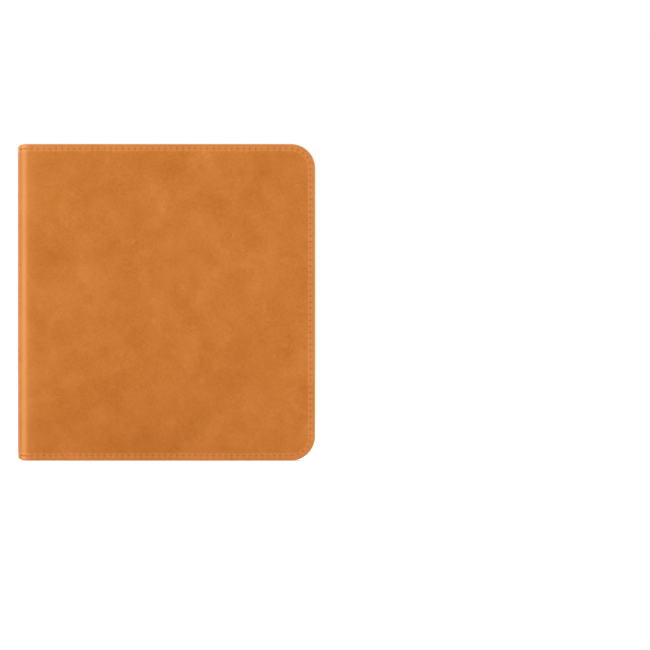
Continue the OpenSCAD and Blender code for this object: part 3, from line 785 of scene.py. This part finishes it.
class Paint:
    """A material's nodes, written as calls. A socket passed as a value is linked."""

    def __init__(self, name, **shader):
        self.mat = bpy.data.materials.new(name)
        self.mat.use_nodes = True
        self.tree = self.mat.node_tree
        self.tree.nodes.clear()
        out = self.tree.nodes.new("ShaderNodeOutputMaterial")
        self.bsdf = self.tree.nodes.new("ShaderNodeBsdfPrincipled")
        self.tree.links.new(self.bsdf.outputs[0], out.inputs[0])
        self.finish(**shader)

    def set(self, node, inputs):
        """Links each socket among the inputs, and writes each plain value."""
        for key, value in inputs.items():
            if isinstance(value, bpy.types.NodeSocket):
                self.tree.links.new(value, node.inputs[key])
            else:
                node.inputs[key].default_value = value

    def node(self, kind, inputs, out=0, **settings):
        """A new node of a kind, with its inputs and settings. It gives one of its outputs."""
        node = self.tree.nodes.new("ShaderNode" + kind)
        for key, value in settings.items():
            setattr(node, key, value)
        self.set(node, inputs)
        return node.outputs[out]

    def place(self, name=None):
        """Texture coordinates: a stored flat position, or the object's own."""
        if name:
            return self.node("Attribute", {}, out=1, attribute_name=name)
        return self.node("TexCoord", {}, out=3)

    def value(self, name):
        """A number stored at each point of the mesh."""
        return self.node("Attribute", {}, out=2, attribute_name=name)

    def noise(self, place, scale, detail=2.0, distortion=0.0):
        return self.node("TexNoise", {"Vector": place, "Scale": scale, "Detail": detail,
                                      "Distortion": distortion})

    def math(self, operation, a, b=0.0):
        return self.node("Math", {0: a, 1: b}, operation=operation)

    def total(self, *parts):
        """The sum of some values, each given with its weight."""
        weighted = [self.math("MULTIPLY", value, weight) for value, weight in parts]
        whole = weighted[0]
        for value in weighted[1:]:
            whole = self.math("ADD", whole, value)
        return whole

    def spread(self, value, low, high, to_low=0.0, to_high=1.0):
        """A value's range from low to high, mapped to another range and held inside it."""
        return self.node("MapRange", {0: value, 1: low, 2: high, 3: to_low, 4: to_high})

    def blend(self, share, a, b):
        """From colour a to colour b."""
        return self.node("Mix", {0: share, 6: a, 7: b}, out=2, data_type="RGBA")

    def bump(self, height, strength, depth, below=None):
        """A relief of this depth in millimetres, on top of another one if it is given."""
        inputs = {"Height": height, "Strength": strength, "Distance": depth * MM}
        if below is not None:
            inputs["Normal"] = below
        return self.node("Bump", inputs)

    def finish(self, **inputs):
        """Sets the shader's sockets by name, and gives the material."""
        names = {socket.name.lower().replace(" ", "_"): socket.name for socket in self.bsdf.inputs}
        self.set(self.bsdf, {names[key]: value for key, value in inputs.items()})
        return self.mat


# How much brighter than its own colour the studio shows a matt surface, the sheen that it adds, and the
# least that a shader's colour gets.
LIT = 1.46
GLARE = 0.017
DARKEST = 0.002


def seen(colour):
    """The colour of a surface that looks like this, in 0 to 255 screen values, in the studio."""
    return (*[max(DARKEST, (c - GLARE) / LIT) for c in linear(colour)[:3]], 1)


def fibres(p, place, degrees, along, across, through=900):
    """Noise drawn out in one direction, with this many cells in a metre along it and across it."""
    scale = (1 / along, 1 / across, 1 / through)
    inputs = {"Vector": place, "Rotation": (0, 0, radians(degrees)), "Scale": scale}
    return p.noise(p.node("Mapping", inputs, vector_type="TEXTURE"), 1.0, 2.0)


def leather():
    """Waxed tan leather: clouds, crossed grain, worn patches with scratches; paler where stretched, with
    painted highlight on the folds and rims, and painted shade in the needle holes.
    """
    p = Paint("tan_leather", specular_ior_level=0.14)
    place = p.place("sheet_pos")
    cloud = p.noise(place, 34.0, 2.0, 0.6)
    patch = p.noise(place, 95.0, 3.0, 0.4)
    wander = p.node("TexNoise", {"Vector": place, "Scale": 45.0, "Detail": 1.0}, out=1)
    bent = p.node("Mix", {0: 0.012, 4: place, 5: wander}, out=1, data_type="VECTOR")
    weft = fibres(p, bent, degrees=38, along=640, across=1500)
    warp = fibres(p, bent, degrees=-47, along=640, across=1500)
    grain = p.math("ADD", weft, warp)
    rising = fibres(p, bent, degrees=62, along=150, across=1300)
    falling = fibres(p, bent, degrees=-28, along=150, across=1300)
    marks = p.math("MAXIMUM", rising, falling)
    worn = p.spread(p.noise(place, 60.0, 1.0, 1.2), 0.52, 0.68)
    scratch = p.math("MULTIPLY", p.spread(marks, 0.6, 0.72), p.math("ADD", worn, 0.12))
    tone = p.total((cloud, 0.8), (patch, 0.45), (grain, 0.62), (worn, 0.1), (scratch, 0.34))
    tone = p.spread(tone, 0.75, 1.75)
    colour = p.blend(tone, seen((187, 107, 40)), seen((220, 138, 71)))
    # Paler by the lightening share, which is partly a painted highlight on the folds, stitches and rims.
    uneven = p.spread(p.noise(place, 45.0, 2.0), 0.35, 0.65, 0.84, 1.0)
    pulled = p.math("MULTIPLY", p.value("pull"), uneven)
    colour = p.blend(pulled, colour, seen((247, 168, 99)))
    # Painted shade in the needle holes.
    colour = p.blend(p.math("MULTIPLY", p.value("hole_shade"), 0.24), colour, seen((148, 76, 22)))
    fine = p.noise(place, 2600.0, 3.0)
    soft = p.bump(patch, 0.3, 0.2)
    pebbled = p.bump(grain, 0.22, 0.08, soft)
    normal = p.bump(fine, 0.12, 0.05, pebbled)
    rough = p.spread(p.math("ADD", cloud, p.math("MULTIPLY", fine, 0.4)), 0.5, 0.9, 0.48, 0.58)
    return p.finish(base_color=colour, roughness=rough, normal=normal)


def thread():
    """Waxed thread of two twisted strands, with painted shade where it dives into a hole."""
    p = Paint("seam_thread", specular_ior_level=0.14)
    place = p.place("sheet_pos")
    twist = p.value("pull")
    colour = p.blend(twist, seen((210, 129, 60)), seen((234, 153, 84)))
    # Painted shade where the thread dives into its hole.
    colour = p.blend(p.math("MULTIPLY", p.value("hole_shade"), 0.32), colour, seen((160, 90, 32)))
    lint = p.noise(place, 6000.0, 3.0)
    return p.finish(base_color=colour, roughness=p.spread(lint, 0.3, 0.7, 0.5, 0.7),
                    normal=p.bump(p.math("ADD", twist, lint), 0.5, 0.08))


def microfibre():
    """A brown napped lining, brushed lighter and darker."""
    p = Paint("microfibre", specular_ior_level=0.15, sheen_weight=0.35, sheen_roughness=0.5,
              sheen_tint=linear((190, 160, 130)))
    place = p.place("sheet_pos")
    brushed = p.noise(place, 42.0, 4.0, 0.4)
    nap = p.noise(place, 2400.0, 4.0)
    tone = p.total((brushed, 0.6), (nap, 0.4))
    colour = p.blend(p.spread(tone, 0.32, 0.68), linear((92, 63, 39)), linear((116, 83, 54)))
    return p.finish(base_color=colour, roughness=p.spread(nap, 0.3, 0.7, 0.85, 1.0),
                    normal=p.bump(nap, 0.45, 0.15))


def plain(name, dark, light, scale, rough, metallic=0.0, bump=0.1, depth=0.05, **shader):
    """A moulded, cast, printed or foil finish: mottled colour, uneven gloss and a fine relief."""
    p = Paint(name, metallic=metallic, **shader)
    place = p.place()
    broad = p.noise(place, scale * 0.12, 3.0, 0.3)
    fine = p.noise(place, scale, 2.0)
    tone = p.total((broad, 0.5), (fine, 0.5))
    colour = p.blend(p.spread(tone, 0.35, 0.65), linear(dark), linear(light))
    return p.finish(base_color=colour, roughness=p.spread(broad, 0.3, 0.7, *rough),
                    normal=p.bump(fine, bump, depth))


def circuit():
    """Solder mask over copper tracks."""
    p = Paint("circuit_green", specular_ior_level=0.5)
    place = p.place()
    upright = p.node("Mapping", {"Vector": place, "Rotation": (pi / 2, 0, 0)})
    black, white = (0, 0, 0, 1), (1, 1, 1, 1)
    track = p.node("TexBrick", {"Vector": upright, "Scale": 260.0, "Mortar Size": 0.06,
                                "Color1": black, "Color2": black, "Mortar": white})
    gated = p.math("MULTIPLY", track, p.spread(p.noise(place, 90.0, 1.0), 0.48, 0.52))
    colour = p.blend(gated, linear((18, 70, 44)), linear((46, 118, 76)))
    return p.finish(base_color=colour, roughness=p.spread(p.noise(place, 200.0), 0.3, 0.7, 0.3, 0.4),
                    normal=p.bump(gated, 0.3, 0.03))


def film(name, colour, alpha, rough):
    """A clear sheet: it lets most light through and keeps a soft gloss."""
    p = Paint(name, alpha=alpha, specular_ior_level=0.5)
    place = p.place()
    haze = p.noise(place, 3000.0, 2.0)
    tint = p.blend(p.spread(haze, 0.3, 0.7), linear(colour),
                   linear([min(255, c + 8) for c in colour]))
    return p.finish(base_color=tint, roughness=p.spread(haze, 0.3, 0.7, *rough),
                    normal=p.bump(haze, 0.05, 0.01))


# One finish for each material slot. The black plastics reflect little of the white studio.
BLACKS = {"specular_ior_level": 0.14}
finishes = {
    "tan_leather": leather(),
    "thread": thread(),
    "microfibre": microfibre(),
    "circuit_green": circuit(),
    "clear_film": film("clear_film", (208, 208, 203), 0.16, (0.22, 0.32)),
    "light_guide": film("light_guide", (226, 228, 228), 0.1, (0.1, 0.2)),
    "grey_board": plain("grey_board", (128, 121, 110), (160, 152, 140), 1200, (0.85, 0.95), bump=0.3),
    "magnet_nickel": plain("magnet_nickel", (170, 172, 176), (200, 202, 205), 900, (0.2, 0.32), 1.0),
    "holder_black": plain("holder_black", (16, 16, 18), (24, 24, 26), 2600, (0.5, 0.62), **BLACKS),
    "adhesive": plain("adhesive", (208, 203, 190), (226, 222, 212), 700, (0.6, 0.75)),
    "housing_black": plain("housing_black", (13, 13, 15), (20, 20, 23), 3000, (0.42, 0.55),
                           bump=0.2, **BLACKS),
    "bezel_black": plain("bezel_black", (15, 15, 17), (22, 22, 24), 3000, (0.42, 0.55), bump=0.2,
                         **BLACKS),
    "seal_rubber": plain("seal_rubber", (12, 12, 13), (20, 20, 21), 1500, (0.6, 0.75)),
    "epaper": plain("epaper", (196, 195, 188), (206, 205, 199), 5200, (0.7, 0.8), bump=0.05),
    "flex_film": plain("flex_film", (160, 100, 36), (190, 122, 52), 600, (0.25, 0.35)),
    "led_white": plain("led_white", (224, 206, 130), (238, 226, 170), 1400, (0.3, 0.4)),
    "magnesium": plain("magnesium", (128, 130, 134), (156, 158, 162), 1600, (0.4, 0.55), 1.0, 0.3),
    "screw_steel": plain("screw_steel", (180, 181, 183), (208, 209, 210), 1300, (0.25, 0.35), 1.0),
    "shield_steel": plain("shield_steel", (170, 172, 175), (200, 202, 205), 800, (0.28, 0.4), 1.0),
    "chip_black": plain("chip_black", (26, 27, 31), (40, 41, 45), 2400, (0.5, 0.65), bump=0.2),
    "port_steel": plain("port_steel", (185, 187, 190), (212, 214, 216), 1100, (0.2, 0.3), 1.0),
    "battery_foil": plain("battery_foil", (186, 189, 194), (214, 217, 221), 240, (0.28, 0.42), 0.9,
                          0.4, 0.2),
    "wire_red": plain("wire_red", (176, 44, 36), (206, 66, 54), 900, (0.4, 0.5)),
    "wire_black": plain("wire_black", (34, 34, 36), (50, 50, 52), 900, (0.4, 0.5)),
    "copper_foil": plain("copper_foil", (180, 120, 50), (212, 152, 74), 500, (0.25, 0.38), 0.9),
    "switch_white": plain("switch_white", (204, 204, 199), (222, 222, 218), 1500, (0.45, 0.55)),
    "button_gloss": plain("button_gloss", (8, 8, 9), (12, 12, 13), 900, (0.16, 0.22), bump=0.02,
                          depth=0.01, **BLACKS),
    "icon_grey": plain("icon_grey", (66, 66, 68), (80, 80, 83), 2000, (0.4, 0.5), **BLACKS),
    "key_black": plain("key_black", (30, 30, 32), (42, 42, 45), 2800, (0.35, 0.45), **BLACKS),
}


def dress(obj, slot):
    """Gives an object the finish of its slot."""
    obj.data.materials.clear()
    obj.data.materials.append(finishes[slot])


for pieces, slot in ((skins, "tan_leather"), (linings, "microfibre"), (seams, "thread"),
                     ([button], "button_gloss"), ([icon], "icon_grey")):
    for obj in pieces:
        dress(obj, slot)

# The CAD nodes that stay get a finish. All but thin sheets get softened edges, and the clear sheets over
# the screen draw in slightly, so that no two faces lie at the same depth.
THIN_SHEET = 1.3
FILM_GAP = 0.02
SOFT_MOST = 0.2
SOFT_SHARE = 0.12
slots = {part["node"]: part["material_slot"] for part in frame["record"]["subparts"]}
for name, obj in frame["nodes"].items():
    if obj.hide_render:  # a piece above replaces this node
        continue
    dress(obj, slots[name])
    flat = obj.modifiers.new("flat_faces", "DECIMATE")
    flat.decimate_type = "DISSOLVE"
    flat.angle_limit = radians(0.6)
    obj.data.shade_smooth()
    obj.data.set_sharp_from_angle(angle=radians(35))
    if name in ("touch_film", "light_guide"):
        apart = obj.modifiers.new("air_gap", "DISPLACE")
        apart.strength = -FILM_GAP * MM
        apart.mid_level = 0
    size = min(obj.dimensions) / MM
    if size < THIN_SHEET:
        continue
    soft = obj.modifiers.new("soft_edges", "BEVEL")
    soft.width = min(SOFT_MOST, size * SOFT_SHARE) * MM
    soft.segments = 2
    soft.limit_method = "ANGLE"
    soft.angle_limit = radians(40)
    soft.harden_normals = True

# Stage, lights and camera. These are in metres.
floor_bm = bmesh.new()
bmesh.ops.create_circle(floor_bm, cap_ends=True, radius=9, segments=96)
floor = new_object("studio_floor", floor_bm, sharp_degrees=60)
white = Paint("studio_white", roughness=0.9, specular_ior_level=0.1, base_color=(0.96, 0.96, 0.96, 1),
              emission_color=(1, 1, 1, 1), emission_strength=0.18)
floor.data.materials.append(white.mat)


def softbox(name, place, width, height, power):
    """A rectangular light that faces the middle of the cover."""
    data = bpy.data.lights.new(name, "AREA")
    data.shape = "RECTANGLE"
    data.size, data.size_y = width, height
    data.energy = power
    light = bpy.data.objects.new(name, data)
    light.location = place
    towards = Vector((0, 0, HALF_HEIGHT * MM)) - Vector(place)
    light.rotation_euler = towards.to_track_quat("-Z", "Y").to_euler()
    bpy.context.scene.collection.objects.link(light)
    return light


# Three soft lights on each side of the cover.
for y, end in ((1, "front"), (-1, "back")):
    softbox(f"{end}_spine_side_light", (1.5, 1.1 * y, 0.35), width=0.8, height=1.2, power=13)
    softbox(f"{end}_fore_edge_light", (-1.6, 0.7 * y, 0.35), width=0.8, height=1.2, power=6)
    softbox(f"{end}_top_light", (0.0, 0.9 * y, 1.5), width=1.4, height=0.4, power=2.5)

# Two lights reach the glossy power button alone. Their reflection lies in the lower wall of its dish.
button_only = bpy.data.collections.new("button_only")
button_only.objects.link(button)
for x, end in ((-0.68, "left"), (0.68, "right")):
    light = softbox(f"button_{end}_light", (x, -0.9, 1.5), width=1.25, height=0.75, power=100)
    light.light_linking.receiver_collection = button_only

world = bpy.data.worlds.new("studio")
world.use_nodes = True
background = world.node_tree.nodes["Background"]
background.inputs["Color"].default_value = (1, 1, 1, 1)
background.inputs["Strength"].default_value = 1.0
bpy.context.scene.world = world
bpy.context.scene.view_settings.view_transform = "Standard"
bpy.context.scene.view_settings.look = "None"

# A long lens, so that the cover's sides look parallel. The closed cover stands at the picture's left.
camera_data = bpy.data.cameras.new("camera")
camera_data.sensor_width = 36
camera_data.lens = 500
camera_data.clip_end = 30
camera = bpy.data.objects.new("camera", camera_data)
camera.location = (-0.0831, 4.739, 0.0711)
camera.rotation_euler = (radians(90), 0, radians(180))
bpy.context.scene.collection.objects.link(camera)
bpy.context.scene.camera = camera
